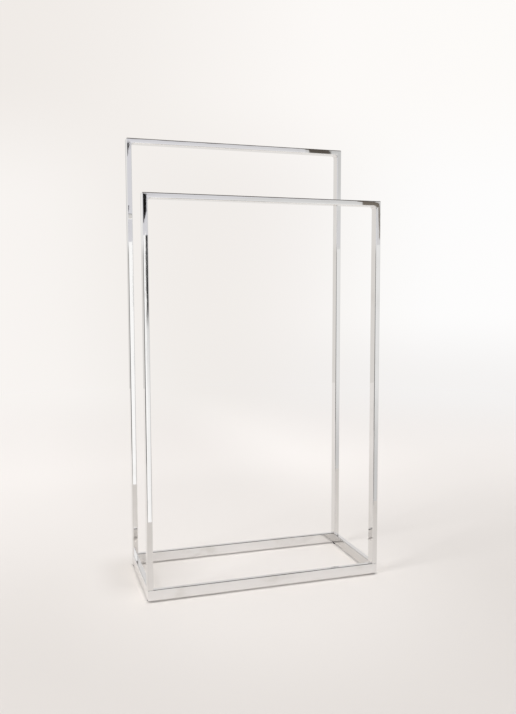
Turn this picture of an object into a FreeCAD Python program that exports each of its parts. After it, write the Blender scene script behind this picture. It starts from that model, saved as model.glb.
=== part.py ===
import FreeCAD, Part
import math
import os

# Valet stand: a tall rear frame and a lower front frame of flat steel tube, each bolted by its two
# feet to a rectangular base frame, which stands on four push-in glides.
# Millimetres. +Z is up and the front faces -Y. The origin is on the floor under the middle of the base.

# Driving dimensions
width = 450.0
depth = 205.0
rear_height = 850.0
front_height = 723.0
tube_thin = 10.0           # narrow side of the tube
tube_broad = 20.0          # broad side of the tube
tube_wall = 1.2
tube_edge = 1.5            # radius along the outside of the tube
tube_bore_edge = 0.4       # radius along the inside of the tube
mitre_corner = 2.0         # radius of a polished outer corner
weld_radius = 5.0          # ground weld inside each top corner

glide_thickness = 3.0      # lifts the base off the floor
glide_radius = 4.6
glide_edge = 0.8
glide_stem_radius = 3.6
glide_stem_height = 7.0
glide_lip_radius = 3.72    # snaps in behind the tube wall
glide_lip_height = 1.2

bolt_from_end = 12.0       # bolt axis to the nearer end of the base
screw_radius = 2.0
screw_length = 16.0
screw_tip_chamfer = 0.5
head_radius = 3.5
head_height = 4.0
head_edge = 0.4
socket_flats = 3.0
socket_depth = 2.0
washer_radius = 3.4
washer_bore_radius = 2.1
washer_thickness = 1.1
washer_split = 0.6
washer_split_angle = 20.0
clearance_hole_radius = 2.25
access_hole_radius = 3.7
plug_height = 18.0
plug_fit = 0.05            # gap between the plug and the tube's wall
thread_fit = 0.02          # gap between the screw and the plug

# Worked-out places
half_width = width / 2
half_depth = depth / 2
inner_x = half_width - tube_thin      # inner faces of the uprights and of the side bars
inner_y = half_depth - tube_thin      # inner faces of the front and rear bars
base_bottom = glide_thickness
base_top = base_bottom + tube_broad
screw_seat = base_top - tube_wall
head_top = screw_seat - washer_thickness
head_bottom = head_top - head_height
bolt_x = half_width - tube_thin / 2
bolt_y = half_depth - bolt_from_end
past = 2.0                 # how far a cutting shape runs past the faces that it cuts

sides = {"left": -1, "right": 1}
ends = {"front": -1, "rear": 1}
frame_tops = {"front": front_height, "rear": rear_height}


def box(low, high):
    return Part.makeBox(high[0] - low[0], high[1] - low[1], high[2] - low[2], FreeCAD.Vector(*low))


def disc(radius, bottom, top, x, y):
    return Part.makeCylinder(radius, top - bottom, FreeCAD.Vector(x, y, bottom))


def lies_at(edge, axis, value):
    """True when the whole edge lies in the plane where the axis (x, y or z) has that value."""
    return all(abs(getattr(point, axis) - value) < 1e-6 for point in edge.discretize(3))


def round_edges(solid, radius, wanted):
    return solid.makeFillet(radius, [edge for edge in solid.Edges if wanted(edge)])


def prism(outline, thickness):
    """Straight solid over a closed outline of points, thickness being a vector."""
    points = [FreeCAD.Vector(*point) for point in outline]
    return Part.Face(Part.makePolygon(points + points[:1])).extrude(FreeCAD.Vector(*thickness))


def tube_bore(low, high, along):
    """Inside of a tube whose outside spans low to high and which runs along one axis (0, 1 or 2)."""
    low = [low[i] - past if i == along else low[i] + tube_wall for i in range(3)]
    high = [high[i] + past if i == along else high[i] - tube_wall for i in range(3)]
    axis = "xyz"[along]

    def runs_along(edge):
        return not any(lies_at(edge, axis, end[along]) for end in (low, high))

    return round_edges(box(low, high), tube_bore_edge, runs_along)


def portal_skin(front, top):
    """Outside of one frame: an upside-down U with its welds ground to a radius inside the corners."""
    back = front + tube_broad

    def at_either_side(edge, x):
        return lies_at(edge, "x", -x) or lies_at(edge, "x", x)

    def top_corner(edge):
        return lies_at(edge, "z", top) and at_either_side(edge, half_width)

    def weld_corner(edge):
        return lies_at(edge, "z", top - tube_thin) and at_either_side(edge, inner_x)

    def tube_side(edge):
        on_face = lies_at(edge, "y", front) or lies_at(edge, "y", back)
        return on_face and not lies_at(edge, "z", base_top)

    outside = box((-half_width, front, base_top), (half_width, back, top))
    outside = round_edges(outside, mitre_corner, top_corner)
    opening = box((-inner_x, front - past, base_top - past), (inner_x, back + past, top - tube_thin))
    opening = round_edges(opening, weld_radius, weld_corner)
    return round_edges(outside.cut(opening), tube_edge, tube_side)


def portal_frame(end):
    """Two uprights, a top rail and the two corner welds of the front or rear frame."""
    top = frame_tops[end]
    under = top - tube_thin
    middle = ends[end] * (half_depth - tube_broad / 2)
    front = middle - tube_broad / 2
    back = middle + tube_broad / 2
    skin = portal_skin(front, top)
    through = (0, tube_broad + 2 * past, 0)
    parts = {}

    rail_reach = half_width + past
    rail_outline = [(-rail_reach, front - past, top + past), (rail_reach, front - past, top + past),
                    (inner_x, front - past, under), (-inner_x, front - past, under)]
    rail = skin.common(prism(rail_outline, through))
    rail_bore = tube_bore((-half_width, front, under), (half_width, back, top), 0)
    parts[end + "_top_rail"] = rail.cut(rail_bore)

    for side, sign in sides.items():
        outer = sign * (half_width + past)
        inner = sign * inner_x
        outline = [(outer, front - past, top + past), (inner, front - past, under),
                   (inner, front - past, base_top - past), (outer, front - past, base_top - past)]
        upright = skin.common(prism(outline, through))
        low_x, high_x = sorted((sign * half_width, inner))
        bore = tube_bore((low_x, front, base_top), (high_x, back, top), 2)
        parts[end + "_" + side + "_upright"] = upright.cut(bore)

        low_x, high_x = sorted((inner, sign * (inner_x - weld_radius - past)))
        weld_zone = box((low_x, front - past, under - weld_radius - past), (high_x, back + past, under))
        parts[end + "_" + side + "_corner_weld"] = skin.common(weld_zone)
    return parts


def base_skin():
    """Outside of the base frame: a rectangular ring of tube standing on edge."""
    def outer_corner(edge):
        return not lies_at(edge, "z", base_bottom) and not lies_at(edge, "z", base_top)

    def tube_side(edge):
        return lies_at(edge, "z", base_bottom) or lies_at(edge, "z", base_top)

    outside = box((-half_width, -half_depth, base_bottom), (half_width, half_depth, base_top))
    outside = round_edges(outside, mitre_corner, outer_corner)
    opening = box((-inner_x, -inner_y, base_bottom - past), (inner_x, inner_y, base_top + past))
    return round_edges(outside.cut(opening), tube_edge, tube_side)


def base_frame():
    """Four bars mitred at the corners; the side bars are drilled for the bolts and the glides."""
    skin = base_skin()
    low = base_bottom - past
    through = (0, 0, tube_broad + 2 * past)
    parts = {}

    for end, sign in ends.items():
        outer_y = sign * (half_depth + past)
        outer_x = half_width + past
        outline = [(-outer_x, outer_y, low), (outer_x, outer_y, low),
                   (inner_x, sign * inner_y, low), (-inner_x, sign * inner_y, low)]
        bar = skin.common(prism(outline, through))
        low_y, high_y = sorted((sign * half_depth, sign * inner_y))
        bore = tube_bore((-half_width, low_y, base_bottom), (half_width, high_y, base_top), 0)
        parts["base_" + end + "_bar"] = bar.cut(bore)

    for side, sign in sides.items():
        outer_x = sign * (half_width + past)
        outer_y = half_depth + past
        outline = [(outer_x, -outer_y, low), (outer_x, outer_y, low),
                   (sign * inner_x, inner_y, low), (sign * inner_x, -inner_y, low)]
        bar = skin.common(prism(outline, through))
        low_x, high_x = sorted((sign * half_width, sign * inner_x))
        bar = bar.cut(tube_bore((low_x, -half_depth, base_bottom), (high_x, half_depth, base_top), 1))
        for end_sign in ends.values():
            x, y = sign * bolt_x, end_sign * bolt_y
            bar = bar.cut(disc(clearance_hole_radius, screw_seat - past, base_top + past, x, y))
            hole_top = base_bottom + tube_wall + past
            bar = bar.cut(disc(access_hole_radius, base_bottom - past, hole_top, x, y))
        parts["base_" + side + "_bar"] = bar
    return parts


def foot_plug(end, side):
    """Solid steel block welded into an upright's foot, with the threaded hole for its screw."""
    inset = tube_wall + plug_fit
    near, away = sorted((sides[side] * (half_width - inset), sides[side] * (inner_x + inset)))
    far_inset = tube_broad - inset
    low_y, high_y = sorted((ends[end] * (half_depth - inset), ends[end] * (half_depth - far_inset)))
    plug_top = base_top + plug_height

    def runs_up(edge):
        return not lies_at(edge, "z", base_top) and not lies_at(edge, "z", plug_top)

    block = round_edges(box((near, low_y, base_top), (away, high_y, plug_top)), tube_bore_edge, runs_up)
    x, y = sides[side] * bolt_x, ends[end] * bolt_y
    return block.cut(disc(screw_radius + thread_fit, base_top - past, plug_top + past, x, y))


def hexagon(flats, x, y, z):
    """Corners of a hexagon of that width across its flats."""
    reach = flats / 2 / math.cos(math.radians(30))
    turns = [math.radians(60 * step) for step in range(6)]
    return [(x + reach * math.cos(turn), y + reach * math.sin(turn), z) for turn in turns]


def foot_screw(end, side):
    """Socket cap screw, head down, with its hexagon socket facing the floor."""
    x, y = sides[side] * bolt_x, ends[end] * bolt_y
    head = disc(head_radius, head_bottom, head_top, x, y)
    head = round_edges(head, head_edge, lambda edge: lies_at(edge, "z", head_bottom))
    shank_top = head_top + screw_length
    shank = disc(screw_radius, head_top, shank_top, x, y)
    tip = [edge for edge in shank.Edges if lies_at(edge, "z", shank_top)]
    shank = shank.makeChamfer(screw_tip_chamfer, tip)
    socket = prism(hexagon(socket_flats, x, y, head_bottom - past), (0, 0, past + socket_depth))
    return head.fuse(shank).removeSplitter().cut(socket)


def lock_washer(end, side):
    """Split spring washer between the screw's head and the top wall of the side bar."""
    x, y = sides[side] * bolt_x, ends[end] * bolt_y
    ring = disc(washer_radius, head_top, screw_seat, x, y)
    ring = ring.cut(disc(washer_bore_radius, head_top - past, screw_seat + past, x, y))
    half_split = washer_split / 2
    slit = box((x, y - half_split, head_top - past), (x + 2 * washer_radius, y + half_split, base_top))
    middle = FreeCAD.Vector(x, y, (head_top + screw_seat) / 2)
    slit.rotate(middle, FreeCAD.Vector(1, 0, 0), washer_split_angle)
    return ring.cut(slit)


def glide(end, side):
    """Plastic foot: a flange on the floor and a stem that snaps into the access hole."""
    x, y = sides[side] * bolt_x, ends[end] * bolt_y
    flange = disc(glide_radius, 0, base_bottom, x, y)
    flange = round_edges(flange, glide_edge, lambda edge: lies_at(edge, "z", 0))
    stem_top = base_bottom + glide_stem_height
    stem = disc(glide_stem_radius, base_bottom, stem_top, x, y)
    lip_bottom = base_bottom + tube_wall + tube_bore_edge
    lip = disc(glide_lip_radius, lip_bottom, lip_bottom + glide_lip_height, x, y)
    return flange.fuse([stem, lip]).removeSplitter()


def main():
    parts = base_frame()
    for end in ends:
        parts.update(portal_frame(end))
        for side in sides:
            corner = end + "_" + side
            parts[corner + "_foot_plug"] = foot_plug(end, side)
            parts[corner + "_foot_screw"] = foot_screw(end, side)
            parts[corner + "_lock_washer"] = lock_washer(end, side)
            parts[corner + "_glide"] = glide(end, side)

    os.makedirs("parts", exist_ok=True)
    for name, shape in sorted(parts.items()):
        solid = shape.Solids[0]
        solid.exportStep("parts/" + name + ".step")
        state = "valid" if solid.isValid() and len(shape.Solids) == 1 else "BROKEN"
        print(name, state, round(solid.Volume, 1), "mm3")


main()
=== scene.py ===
import math
import bpy
from mathutils import Euler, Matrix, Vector

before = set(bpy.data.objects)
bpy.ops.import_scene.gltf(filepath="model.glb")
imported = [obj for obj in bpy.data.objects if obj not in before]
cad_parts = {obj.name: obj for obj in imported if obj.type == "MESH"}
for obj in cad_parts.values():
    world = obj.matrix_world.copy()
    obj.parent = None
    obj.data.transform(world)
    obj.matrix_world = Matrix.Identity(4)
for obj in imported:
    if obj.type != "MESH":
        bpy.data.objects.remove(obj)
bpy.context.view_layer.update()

scene = bpy.context.scene
print("frame loaded,", len(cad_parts), "nodes")


class Wire:
    # an output socket that takes part in sums; each operator adds a Math node
    def __init__(self, graph, socket):
        self.graph = graph
        self.socket = socket

    def __add__(self, other):
        return self.graph.maths("ADD", self, other)

    def __radd__(self, other):
        return self.graph.maths("ADD", other, self)

    def __sub__(self, other):
        return self.graph.maths("SUBTRACT", self, other)

    def __rsub__(self, other):
        return self.graph.maths("SUBTRACT", other, self)

    def __mul__(self, other):
        return self.graph.maths("MULTIPLY", self, other)

    def __rmul__(self, other):
        return self.graph.maths("MULTIPLY", other, self)

    def __neg__(self):
        return 0 - self

    def __abs__(self):
        return self.graph.maths("ABSOLUTE", self)


class Graph:
    # the node tree of a material or of the world
    def __init__(self, owner):
        owner.use_nodes = True
        self.tree = owner.node_tree
        self.tree.nodes.clear()

    def node(self, kind, settings=None, sockets=None, out=0):
        made = self.tree.nodes.new("ShaderNode" + kind)
        for name, value in (settings or {}).items():
            if name == "stops":
                self.setStops(made.color_ramp, value)
            elif name == "between":
                made.color_ramp.interpolation = value
            else:
                setattr(made, name, value)
        for name, value in (sockets or {}).items():
            if isinstance(value, Wire):
                self.tree.links.new(value.socket, made.inputs[name])
            else:
                made.inputs[name].default_value = value
        return Wire(self, made.outputs[out]) if len(made.outputs) else made

    def setStops(self, ramp, stops):
        while len(ramp.elements) < len(stops):
            ramp.elements.new(0.5)
        for element, (place, colour) in zip(ramp.elements, stops):
            element.position = place
            element.color = (*colour, 1.0)

    def maths(self, operation, first, second=0.0):
        return self.node("Math", {"operation": operation}, {0: first, 1: second})

    def outputsOf(self, wire):
        return {socket.name: Wire(self, socket) for socket in wire.socket.node.outputs}

    def parts(self, vector):
        split = self.node("SeparateXYZ", {}, {"Vector": vector})
        return list(self.outputsOf(split).values())

    def lightPath(self):
        return self.outputsOf(self.node("LightPath"))

    def blend(self, share, first, second):
        return self.node("Mix", {"data_type": "RGBA"}, {0: share, 6: first, 7: second}, out=2)

    def spread(self, value, low, high):
        # 0 at low, 1 at high, smooth between
        return self.node("MapRange", {"interpolation_type": "SMOOTHSTEP"}, {0: value, 1: low, 2: high})

    def climb(self, rise, zone):
        # the same, over a zone in degrees above level
        return self.spread(rise, *(math.radians(degrees) for degrees in zone))

    def noise(self, place, scale, detail=2.0, roughness=0.5):
        sockets = {"Vector": place, "Scale": scale, "Detail": detail, "Roughness": roughness}
        return self.node("TexNoise", {}, sockets)

    def ramp(self, value, stops, between="LINEAR"):
        return self.node("ValToRGB", {"stops": stops, "between": between}, {"Fac": value}, out="Color")

    def stretched(self, factors=(1.0, 1.0, 1.0)):
        # object coordinates in metres, multiplied axis by axis
        place = self.node("TexCoord", {}, {}, out="Object")
        return self.node("VectorMath", {"operation": "MULTIPLY"}, {0: place, 1: factors})

    def away(self, place, middle):
        return self.node("VectorMath", {"operation": "DISTANCE"}, {0: place, 1: middle}, out="Value")

    def bumps(self, height):
        return self.node("Bump", {}, {"Strength": 1.0, "Distance": 1.0, "Height": height}, out="Normal")

    def glowing(self, colour):
        return self.node("Emission", {}, {"Color": colour, "Strength": 1.0})

    def finish(self, shader, kind="OutputMaterial"):
        self.node(kind, {}, {"Surface": shader})


# lengths and heights in metres
chrome = {
    "tone": (0.785, 0.778, 0.770, 1.0),
    "litBaseTone": (0.835, 0.832, 0.832, 1.0),    # a lighter tone on the base, a painted brighter reflection
    "sheenTone": (0.91, 0.90, 0.885, 1.0),      # painted sheen: the lower half of the rails takes a lighter tone
    "sheenZone": (-0.1, 0.9),
    "innerShadeTone": (0.68, 0.67, 0.66, 1.0),       # painted shade: the right bar's inner face takes a darker tone
    "innerShadeZone": (0.5, 0.9),
    "hazeTone": (0.735, 0.725, 0.712, 1.0),    # where the buffing wheel left a little haze
    "hazeScale": 14.0,
    "hazeDetail": 4.0,
    "hazeRoughness": 0.6,
    "hazeRange": (0.52, 0.75),
    "gloss": 0.018,
    "hazeGloss": 0.05,
    "plainDetail": 1.0,                        # for noise that is smooth, with nothing finer in it
    "waveLength": 0.06,                        # drawn tube is never quite flat: long waves along it
    "waveHeight": 0.00004,
    "rippleLength": 0.012,
    "rippleHeight": 0.0000016,
    "roundTube": 2.2,                          # waves and ripples are this much shorter round the tube
    "buffLength": 0.0009,                      # hairlines left by the last polish, along the tube
    "buffHeight": 0.00000004,
    "buffStretch": 0.05,
    "streakRange": (0.40, 0.75),
    "streakGloss": 0.008,
    "crown": 0.00008,                          # the broad faces bulge, the narrow ones are flat
    "roll": 0.000045,                          # polishing rolled the top edges of the crosswise tubes over
    "rollWaver": (0.6, 1.25),                  # but not evenly
    "waverScale": 22.0,
    "waverRange": (0.35, 0.65),
}


def makeChrome(name, along, broad=None, tone="tone", paintedSheen=False, shadeInside=False,
               rollZone=None, haze=1.0):
    # along: the axis the tube runs in, or None for a corner that was polished round
    # broad: the axis its broad faces are wide in
    # tone: which plating tone the piece has
    # paintedSheen: whether the lower half takes a lighter tone, a painted sheen
    # shadeInside: whether the face towards the left takes a darker tone, a painted shade
    # rollZone: how far up the upright faces, from -1 to 1, the rolled edge starts and ends
    # haze: how much haze the buffing left, where 1 is usual
    material = bpy.data.materials.new(name)
    graph = Graph(material)
    stretch = [chrome["roundTube"]] * 3
    hair = [1.0] * 3
    if along is not None:
        stretch[along] = 1.0
        hair[along] = chrome["buffStretch"]
    longWay = graph.stretched(stretch)
    hairWay = graph.stretched(hair)

    wave = graph.noise(longWay, 1 / chrome["waveLength"], chrome["plainDetail"])
    ripple = graph.noise(longWay, 1 / chrome["rippleLength"], chrome["plainDetail"])
    buff = graph.noise(hairWay, 1 / chrome["buffLength"])
    height = wave * chrome["waveHeight"] + ripple * chrome["rippleHeight"] + buff * chrome["buffHeight"]
    share = graph.parts(graph.node("TexCoord", {}, {}, out="Generated"))
    outward = [2 * (part - 0.5) for part in share]     # -1 and 1 at the piece's own ends, on each axis
    if broad is not None:
        height = height - outward[broad] * outward[broad] * chrome["crown"]
    if rollZone is not None:
        low, high = chrome["rollWaver"]
        uneven = graph.noise(longWay, chrome["waverScale"], chrome["plainDetail"])
        uneven = graph.spread(uneven, *chrome["waverRange"])
        waver = low + uneven * (high - low)
        height = height - graph.spread(outward[2], *rollZone) * waver * chrome["roll"]

    patches = graph.noise(longWay, chrome["hazeScale"], chrome["hazeDetail"], chrome["hazeRoughness"])
    patches = graph.spread(patches, *chrome["hazeRange"]) * haze
    streaks = graph.spread(buff, *chrome["streakRange"])
    gloss = chrome["gloss"] + patches * (chrome["hazeGloss"] - chrome["gloss"])
    gloss = gloss + streaks * chrome["streakGloss"]
    plating = graph.blend(patches, chrome[tone], chrome["hazeTone"])
    # painted sheen: lighter towards the bottom of the piece
    if paintedSheen:
        lower = graph.spread(-outward[2], *chrome["sheenZone"])
        plating = graph.blend(lower, plating, chrome["sheenTone"])
    # painted shade: darker on the face towards the left
    if shadeInside:
        inner = graph.spread(-outward[0], *chrome["innerShadeZone"])
        plating = graph.blend(inner, plating, chrome["innerShadeTone"])
    graph.finish(graph.node("BsdfPrincipled", {}, {
        "Base Color": plating,
        "Metallic": 1.0,
        "Roughness": gloss,
        "Normal": graph.bumps(height),
    }))
    return material


# the small hardware: a tone, patches of a second tone in it, and a fine grain
zinc = {
    "tone": (0.52, 0.53, 0.55, 1.0),
    "gloss": 0.28,
    "metallic": 1.0,
    "patchTone": (0.62, 0.60, 0.54, 1.0),      # yellowish bloom
    "patchScale": 260.0,
    "patchDetail": 3.0,
    "patchRoughness": 0.5,
    "patchRange": (0.45, 0.70),
    "patchGloss": 0.15,
    "grainScale": 2600.0,
    "grainHeight": 0.00001,
    "stretch": (1.0, 1.0, 1.0),
}
plugSteel = {
    "tone": (0.34, 0.33, 0.32, 1.0),
    "gloss": 0.42,
    "metallic": 1.0,
    "patchTone": (0.16, 0.11, 0.08, 1.0),      # mill scale, which is no metal
    "patchScale": 190.0,
    "patchDetail": 4.0,
    "patchRoughness": 0.65,
    "patchRange": (0.50, 0.72),
    "patchGloss": 0.3,
    "patchMetallic": -0.4,
    "grainScale": 900.0,
    "grainHeight": 0.00003,
    "stretch": (1.0, 1.0, 6.0),                # turning lines run round the block
}
nylon = {
    "tone": (0.018, 0.018, 0.019, 1.0),
    "gloss": 0.48,
    "metallic": 0.0,
    "patchTone": (0.07, 0.068, 0.065, 1.0),    # scuffs
    "patchScale": 420.0,
    "patchDetail": 4.0,
    "patchRoughness": 0.7,
    "patchRange": (0.56, 0.74),
    "patchGloss": 0.25,
    "grainScale": 3200.0,
    "grainHeight": 0.00002,
    "stretch": (1.0, 1.0, 1.0),
}


def makeHardware(name, look):
    material = bpy.data.materials.new(name)
    graph = Graph(material)
    place = graph.stretched(look["stretch"])
    patches = graph.noise(place, look["patchScale"], look["patchDetail"], look["patchRoughness"])
    patches = graph.spread(patches, *look["patchRange"])
    grain = graph.noise(place, look["grainScale"])
    metallic = look["metallic"]
    if "patchMetallic" in look:
        metallic = metallic + patches * look["patchMetallic"]
    graph.finish(graph.node("BsdfPrincipled", {}, {
        "Base Color": graph.blend(patches, look["tone"], look["patchTone"]),
        "Metallic": metallic,
        "Roughness": look["gloss"] + patches * look["patchGloss"],
        "Normal": graph.bumps(grain * look["grainHeight"]),
    }))
    return material


# by the end of the piece's name
finishes = {
    "_upright": makeChrome("chromeUpright", 2, broad=1),
    "_top_rail": makeChrome("chromeRail", 0, broad=1, paintedSheen=True, rollZone=(0.42, 0.80)),
    "_corner_weld": makeChrome("chromeWeld", None, haze=1.6),
    # the base bars take the lighter tone: a painted brighter reflection
    "front_bar": makeChrome("chromeBaseAcross", 0, broad=2, tone="litBaseTone", rollZone=(0.68, 0.86)),
    "left_bar": makeChrome("chromeBaseLeft", 1, broad=2, tone="litBaseTone"),
    "right_bar": makeChrome("chromeBaseRight", 1, broad=2, tone="litBaseTone", shadeInside=True),
    "foot_screw": makeHardware("zincScrew", zinc),
    "lock_washer": makeHardware("zincWasher", zinc),
    "foot_plug": makeHardware("plugSteel", plugSteel),
    "glide": makeHardware("nylonGlide", nylon),
}
finishes["rear_bar"] = finishes["front_bar"]

for nodeName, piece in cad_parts.items():
    finish = next(finishes[ending] for ending in finishes if nodeName.endswith(ending))
    piece.data.materials.clear()
    piece.data.materials.append(finish)
print("finishes on", len(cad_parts), "nodes")


# tones round the circle, from straight in front by the left, the back and the right to the front again
paleTones = [
    (0.00, (0.88, 0.86, 0.84)),
    (0.25, (0.90, 0.87, 0.85)),
    (0.44, (0.95, 0.915, 0.89)),
    (0.49, (0.94, 0.91, 0.885)),
    (0.515, (0.885, 0.852, 0.822)),
    (0.54, (0.875, 0.84, 0.81)),
    (0.562, (0.91, 0.88, 0.86)),
    (0.58, (0.96, 0.945, 0.93)),
    (0.60, (0.985, 0.98, 0.98)),
    (0.66, (0.99, 0.985, 0.98)),
    (0.75, (0.95, 0.93, 0.92)),
    (1.00, (0.88, 0.86, 0.84)),
]

# what the chrome sees beyond the paper; zones are in degrees above level
room = {
    "upperTones": [
        (0.00, (0.83, 0.83, 0.885)),
        (0.10, (0.86, 0.86, 0.90)),
        (0.25, (0.90, 0.89, 0.88)),
        (0.42, (0.86, 0.83, 0.80)),
        (0.46, (0.92, 0.90, 0.88)),
        (0.4706, (0.98, 0.975, 0.965)),
        (0.4765, (0.97, 0.965, 0.955)),
        (0.479, (0.63, 0.62, 0.61)),           # a grey post
        (0.499, (0.62, 0.61, 0.60)),
        (0.511, (0.98, 0.975, 0.965)),
        (0.60, (0.98, 0.97, 0.96)),
        (0.80, (0.93, 0.92, 0.92)),
        (0.91, (0.80, 0.795, 0.80)),
        (1.00, (0.83, 0.83, 0.885)),
    ],
    "lowerTones": [
        (0.00, (0.42, 0.41, 0.40)),
        (0.06, (0.13, 0.125, 0.12)),           # a dark cupboard, front left
        (0.22, (0.15, 0.145, 0.14)),
        (0.32, (0.70, 0.68, 0.66)),
        (0.38, (0.84, 0.81, 0.78)),
        (0.45, (0.84, 0.81, 0.78)),
        (0.48, (0.76, 0.74, 0.72)),
        (0.60, (0.84, 0.82, 0.80)),
        (0.85, (0.86, 0.85, 0.84)),
        (0.94, (0.84, 0.84, 0.82)),
        (1.00, (0.42, 0.41, 0.40)),
    ],
    "tableLevel": (2.8, 4.0),                  # the lower tones give way to the upper ones
    "shelf": (13.0, 17.0),                     # a duller band high up at the back
    "shelfTone": (0.77, 0.755, 0.74, 1.0),
    "ceilingFront": (13.5, 18.0),              # the dark ceiling comes lower in front
    "ceilingBack": (28.0, 56.0),
    "ceilingFacing": (0.2, 0.7),               # how squarely a direction must face forward to be in front
    "ceilingTone": (0.085, 0.073, 0.065, 1.0),
    "skylight": (66.0, 88.0),                  # a paler patch right overhead
    "skylightTone": (0.66, 0.645, 0.63, 1.0),
    "glint": (2.75, 2.62, 2.47, 1.0),          # the lamps that the tube throws onto the floor
}


def roundTheRoom(graph, x, y):
    # 0 and 1 straight in front, a quarter at the left, a half behind
    turn = graph.maths("ARCTAN2", x, y)
    return turn * (1 / (2 * math.pi)) + 0.5


def makeRoom():
    world = bpy.data.worlds.new("paleRoom")
    scene.world = world
    graph = Graph(world)
    x, y, z = graph.parts(graph.node("TexCoord", {}, {}, out="Generated"))
    circle = roundTheRoom(graph, x, y)
    rise = graph.maths("ARCSINE", z)

    upper = graph.ramp(circle, room["upperTones"])
    lower = graph.ramp(circle, room["lowerTones"])
    walls = graph.blend(graph.climb(rise, room["tableLevel"]), lower, upper)
    inFront = graph.spread(-y, *room["ceilingFacing"])
    behind = 1 - inFront
    walls = graph.blend(behind * graph.climb(rise, room["shelf"]), walls, room["shelfTone"])
    ceiling = inFront * graph.climb(rise, room["ceilingFront"])
    ceiling = ceiling + behind * graph.climb(rise, room["ceilingBack"])
    overhead = graph.blend(graph.climb(rise, room["skylight"]), room["ceilingTone"], room["skylightTone"])
    seenInChrome = graph.blend(ceiling, walls, overhead)

    rays = graph.lightPath()
    bounced = graph.maths("MINIMUM", rays["Diffuse Depth"], 1.0)
    pale = graph.ramp(circle, paleTones)
    seen = graph.blend(rays["Is Glossy Ray"] * (1 - bounced), pale, seenInChrome)
    thrown = graph.blend(rays["Is Glossy Ray"] * bounced, seen, room["glint"])
    graph.finish(graph.node("Background", {}, {"Color": thrown, "Strength": 1.0}), "OutputWorld")


# the paper that the stand is on, lit near it with painted shade in its colour, and glowing evenly further
# out
paper = {
    "tone": (0.932, 0.913, 0.901, 1.0),        # behind the stand
    "shade": (0.690, 0.668, 0.650, 1.0),       # painted shade, in front of it
    "gloss": 0.62,
    "mottleGloss": 0.05,
    "mottleScale": 5.0,
    "mottleDetail": 3.0,
    "specular": 0.25,
    "frontRange": (-1.05, 0.38),               # the painted shade comes in gradually towards the front
    "frontShare": 0.95,
    "shadeEnds": (0.75, 1.4),
    "shadeEndShare": 0.5,
    "poolMiddle": (0.02, -0.12, 0.0),          # a painted pool of light round the stand
    "poolRange": (0.10, 0.48),
    "poolShare": 0.32,
    "besideLine": -0.235,                      # painted shade along the left bar, where less light reaches the paper
    "besideOut": (0.0, 0.085),
    "besideIn": (0.02, 0.20),
    "besideMiddle": 0.05,
    "besideLength": (0.03, 0.14),
    "besideShare": 0.42,
    "backRange": (0.15, 0.75),                 # painted shade in stretches behind: middle, left and far right
    "duskMiddle": 0.05,
    "duskWidth": (0.05, 0.45),
    "duskShare": 0.34,
    "leftRange": (0.0, 0.35),
    "leftShare": 0.18,
    "rightRange": (0.4, 1.0),
    "rightShare": 0.20,
    "fade": (0.9, 3.0),                        # distance over which the lit paper turns into the glow
    "lowHeights": (-0.1, 0.45),                # over these heights the glow changes tone
    "highHeights": (1.2, 2.2),
    "tableFront": -0.57,                       # the polished tube sees the table stop here
    "tableLeft": -1.3,
    "tableEdge": (0.0, 0.004),
}
paperLow = paleTones[:4] + [
    (0.515, (0.88, 0.85, 0.82)),
    (0.54, (0.865, 0.832, 0.803)),
    (0.562, (0.88, 0.853, 0.835)),
    (0.60, (0.90, 0.885, 0.877)),
    (0.66, (0.90, 0.885, 0.877)),
    (0.75, (0.90, 0.88, 0.87)),
    (1.00, (0.88, 0.86, 0.84)),
]
paperHigh = [
    (0.00, (0.86, 0.84, 0.82)),
    (0.25, (0.86, 0.83, 0.80)),
    (0.48, (0.865, 0.825, 0.79)),
    (0.515, (0.895, 0.86, 0.83)),
    (0.545, (0.945, 0.915, 0.89)),
    (0.57, (0.98, 0.955, 0.935)),
    (0.66, (0.985, 0.975, 0.955)),
    (0.75, (0.94, 0.92, 0.90)),
    (1.00, (0.86, 0.84, 0.82)),
]


def paperShade(graph, place, distance, x, y):
    # how much of the painted shade tone the lit paper takes, place by place
    pool = 1 - graph.spread(graph.away(place, paper["poolMiddle"]), *paper["poolRange"])
    front = graph.spread(-y, *paper["frontRange"]) * paper["frontShare"]
    front = front * (1 - paper["poolShare"] * pool)
    front = front * (1 - paper["shadeEndShare"] * graph.spread(distance, *paper["shadeEnds"]))
    beside = 1 - graph.spread(paper["besideLine"] - x, *paper["besideOut"])
    beside = beside * (1 - graph.spread(x - paper["besideLine"], *paper["besideIn"]))
    beside = beside * (1 - graph.spread(abs(y - paper["besideMiddle"]), *paper["besideLength"]))
    front = front + beside * paper["besideShare"]
    dusk = (1 - graph.spread(abs(x - paper["duskMiddle"]), *paper["duskWidth"])) * paper["duskShare"]
    left = graph.spread(-x, *paper["leftRange"]) * paper["leftShare"]
    right = graph.spread(x, *paper["rightRange"]) * paper["rightShare"]
    return front + (dusk + left + right) * graph.spread(y, *paper["backRange"])


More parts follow.
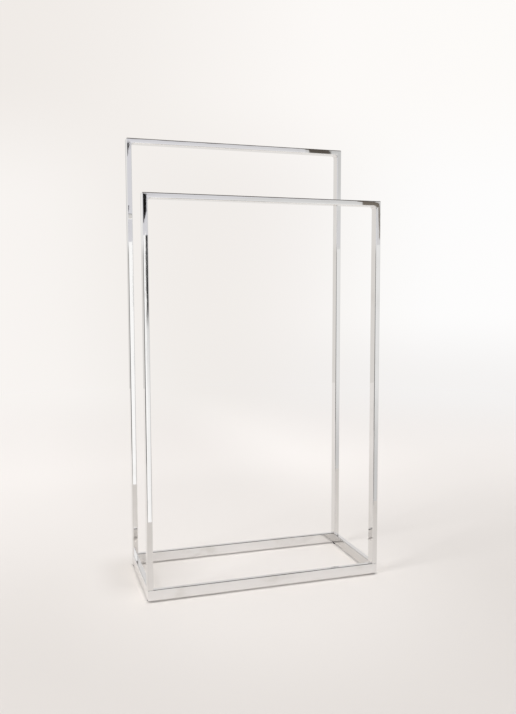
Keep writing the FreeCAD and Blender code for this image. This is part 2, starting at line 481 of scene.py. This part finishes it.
def makePaper():
    material = bpy.data.materials.new("paperSweep")
    graph = Graph(material)
    place = graph.stretched()
    x, y, z = graph.parts(place)
    distance = graph.away(graph.stretched((1.0, 1.0, 0.0)), (0.0, 0.0, 0.0))
    mottle = graph.noise(place, paper["mottleScale"], paper["mottleDetail"])
    near = graph.node("BsdfPrincipled", {}, {
        "Base Color": graph.blend(paperShade(graph, place, distance, x, y), paper["tone"], paper["shade"]),
        "Roughness": paper["gloss"] + mottle * paper["mottleGloss"],
        "Specular IOR Level": paper["specular"],
    })

    circle = roundTheRoom(graph, x, y)
    heights = (paperLow, paleTones, paperHigh)
    low, middle, high = (graph.ramp(circle, tones, "B_SPLINE") for tones in heights)
    glow = graph.blend(graph.spread(z, *paper["lowHeights"]), low, middle)
    glow = graph.blend(graph.spread(z, *paper["highHeights"]), glow, high)
    far = graph.glowing(glow)
    whole = graph.node("MixShader", {}, {0: graph.spread(distance, *paper["fade"]), 1: near, 2: far})

    pastFront = graph.spread(paper["tableFront"] - y, *paper["tableEdge"])
    pastLeft = graph.spread(paper["tableLeft"] - x, *paper["tableEdge"])
    cut = graph.lightPath()["Is Glossy Ray"] * graph.maths("MAXIMUM", pastFront, pastLeft)
    clear = graph.node("BsdfTransparent")
    graph.finish(graph.node("MixShader", {}, {0: cut, 1: whole, 2: clear}))
    return material


# the shape of the paper: a flat disc that curves up into a round wall
sweep = {
    "flatRadius": 3.0,
    "bendRadius": 1.5,
    "wallTop": 6.5,
    "spokes": 128,
    "steps": 12,               # rings in the disc, and again in the bend
    "innermost": 0.01,
    "crowding": 1.5,           # the disc's rings lie closer together near the stand
}


def addSweep(name, profile, material, closed=False):
    # one ring of points for each (radius, height) of the profile
    spokes = sweep["spokes"]
    turns = [2 * math.pi * spoke / spokes for spoke in range(spokes)]
    points = []
    faces = []
    for radius, height in profile:
        points += [(radius * math.cos(turn), radius * math.sin(turn), height) for turn in turns]
    for ring in range(len(profile) - 1):
        inner = ring * spokes
        outer = inner + spokes
        for spoke in range(spokes):
            following = (spoke + 1) % spokes
            faces.append((inner + spoke, outer + spoke, outer + following, inner + following))
    if closed:
        faces.append(tuple(range(spokes)))
    mesh = bpy.data.meshes.new(name)
    mesh.from_pydata(points, [], faces)
    mesh.shade_smooth()
    mesh.materials.append(material)
    made = bpy.data.objects.new(name, mesh)
    scene.collection.objects.link(made)
    return made


def makeSweep():
    material = makePaper()
    steps = sweep["steps"]
    rim = sweep["flatRadius"] + sweep["innermost"]
    rings = [sweep["flatRadius"] * (step / steps) ** sweep["crowding"] for step in range(steps + 1)]
    addSweep("studioFloor", [(radius + sweep["innermost"], 0.0) for radius in rings], material, closed=True)

    bend = sweep["bendRadius"]
    profile = []
    for step in range(steps + 1):
        angle = step * math.pi / (2 * steps)
        profile.append((rim + bend * math.sin(angle), bend * (1 - math.cos(angle))))
    profile.append((rim + bend, sweep["wallTop"]))
    wall = addSweep("studioWall", profile, material)
    wall.visible_glossy = False
    wall.visible_diffuse = False
    wall.visible_shadow = False


# cards that only the chrome sees. Each stands on a line over the floor, from start in the direction toward;
# its outline is measured along that line and up, and its glow runs from the bottom up.
acrossBack = {"start": (0.0, -2.0), "toward": (1.0, 0.0)}
acrossHigh = {"start": (0.0, -2.02), "toward": (1.0, 0.0)}
acrossNear = {"start": (0.0, -1.0), "toward": (1.0, 0.0)}
edgeOn = {"start": (-0.0755, -1.0), "toward": (-0.0333, -1.0)}   # seen edge-on from straight in front
cards = {
    "whiteCard": {
        "line": acrossBack,
        "outline": [(-0.16, -1.2), (0.0778, -1.2), (0.0778, 0.82), (0.0742, 0.800), (-0.16, 0.800)],
        "glow": [(0.0, 1.22), (1.0, 1.22)],
    },
    "blackStep": {
        "line": acrossBack,
        "outline": [(0.0778, -1.2), (0.090, -1.2), (0.090, 0.80), (0.0778, 0.80)],
        "glow": [(0.0, 1.20), (0.62, 1.12), (0.80, 0.86), (0.85, 0.02), (1.0, 0.015)],
    },
    "rightStep": {
        "line": acrossBack,
        "outline": [(0.090, -1.2), (0.20, -1.2), (0.20, 0.87), (0.090, 0.87)],
        "glow": [(0.0, 1.20), (0.62, 1.12), (1.0, 1.12)],
    },
    "middleCard": {
        "line": acrossBack,
        "outline": [(0.20, -1.2), (0.82, -1.2), (0.82, 0.78), (0.20, 0.78)],
        "glow": [(0.0, 0.05), (0.45, 0.10), (0.68, 0.62), (1.0, 1.0)],
    },
    "paleCard": {
        "line": acrossBack,
        "outline": [(0.82, -1.2), (1.75, -1.2), (1.75, 0.78), (0.82, 0.78)],
        "glow": [(0.0, 0.68), (0.48, 0.72), (0.66, 0.95), (1.0, 0.98)],
    },
    "highStep": {
        "line": acrossHigh,
        "outline": [(0.20, 0.79), (1.3, 0.95), (2.2, 1.1), (2.2, 1.3), (1.3, 1.08), (0.20, 0.93)],
        "glow": [(0.0, 0.80), (1.0, 0.80)],
    },
    "greyCard": {
        "line": acrossBack,
        "outline": [(0.95, 0.98), (1.5, 0.98), (1.5, 1.6), (0.95, 1.6)],
        "glow": [(0.0, 0.84), (0.15, 0.74), (1.0, 0.66)],
    },
    "duskCard": {
        "line": acrossBack,
        "outline": [(-1.9, -1.2), (-0.16, -1.2), (-0.16, 0.78), (-1.9, 0.78)],
        "glow": [(0.0, 0.04), (0.55, 0.06), (0.75, 0.25), (1.0, 0.60)],
    },
    "brownFlag": {
        "line": acrossNear,
        "outline": [(0.620, 0.80), (0.668, 0.826), (0.6705, 0.80), (0.6735, 0.735), (0.6755, 0.722),
                    (0.6785, 0.735), (0.6765, 0.80), (0.6745, 0.83), (0.668, 0.86), (0.661, 1.05),
                    (0.661, 1.30), (0.568, 1.30), (0.576, 1.07)],
        "glow": [(0.0, 0.25), (0.17, 0.19), (0.35, 0.11), (1.0, 0.09)],
        "warmth": 0.14,
    },
    "blackFlag": {
        "line": edgeOn,
        "outline": [(0.45, 0.795), (0.046, 0.760), (0.0, 0.79), (0.0, 0.83), (-0.011, 0.835),
                    (-0.011, 0.848), (0.45, 0.893)],
        "glow": [(0.0, 0.01), (1.0, 0.01)],
    },
    "upperFlag": {
        "line": acrossNear,
        "outline": [(-0.115, 1.003), (-0.0768, 1.010), (-0.0735, 1.035), (-0.069, 1.048),
                    (-0.068, 1.058), (-0.115, 1.058)],
        "glow": [(0.0, 0.08), (0.3, 0.02), (1.0, 0.01)],
        "warmth": 0.2,
    },
}


def addCard(name, card):
    startX, startY = card["line"]["start"]
    towardX, towardY = card["line"]["toward"]
    corners = [(startX + along * towardX, startY + along * towardY, up) for along, up in card["outline"]]
    low = min(up for along, up in card["outline"])
    high = max(up for along, up in card["outline"])
    mesh = bpy.data.meshes.new(name)
    mesh.from_pydata(corners, [], [tuple(range(len(corners)))])

    material = bpy.data.materials.new(name)
    graph = Graph(material)
    warmth = card.get("warmth", 0.0)     # redder and less blue by this share
    stops = [(place, (glow * (1 + warmth), glow, glow * (1 - warmth))) for place, glow in card["glow"]]
    height = graph.parts(graph.stretched())[2]
    upTheCard = (height - low) * (1 / (high - low))
    graph.finish(graph.glowing(graph.ramp(upTheCard, stops)))
    mesh.materials.append(material)

    made = bpy.data.objects.new(name, mesh)
    made.visible_camera = False
    made.visible_diffuse = False
    made.visible_shadow = False
    scene.collection.objects.link(made)


lampColour = (1.0, 0.99, 0.985)
lampAim = Vector((0.0, 0.0, 0.1))        # just above the middle of the base
softboxes = {
    "overheadBox": {"place": (-0.5, -0.3, 2.6), "size": (2.4, 2.4), "watts": 4.5},
    "sideBox": {"place": (-6.0, -2.06, 4.8), "size": (2.5, 2.0), "watts": 160.0},
}


def addSoftbox(name, box):
    lamp = bpy.data.lights.new(name, "AREA")
    lamp.shape = "RECTANGLE"
    lamp.size, lamp.size_y = box["size"]
    lamp.energy = box["watts"]
    lamp.color = lampColour
    made = bpy.data.objects.new(name, lamp)
    made.location = box["place"]
    made.rotation_euler = (lampAim - Vector(box["place"])).to_track_quat("-Z", "Y").to_euler()
    made.visible_glossy = False
    made.visible_camera = False
    scene.collection.objects.link(made)


camera = {
    "place": (-0.4216, -1.3786, 0.5486),
    "turn": 17.53,      # degrees to the right of straight ahead
    "dip": 4.84,        # degrees below the horizon
    "roll": 0.13,
    "lens": 37.28,
    "sensor": 36.0,
}


def makeCamera():
    lens = bpy.data.cameras.new("standView")
    lens.lens = camera["lens"]
    lens.sensor_width = camera["sensor"]
    eye = bpy.data.objects.new("standView", lens)
    eye.location = camera["place"]
    degrees = (90 - camera["dip"], camera["roll"], -camera["turn"])
    eye.rotation_euler = Euler([math.radians(angle) for angle in degrees], "XYZ")
    scene.collection.objects.link(eye)
    scene.camera = eye


scene.view_settings.view_transform = "Standard"
makeRoom()
makeSweep()
print("room and paper made")
for cardName, card in cards.items():
    addCard(cardName, card)
for boxName, box in softboxes.items():
    addSoftbox(boxName, box)
print(len(cards), "cards and", len(softboxes), "lamps placed")
makeCamera()
print("camera set")
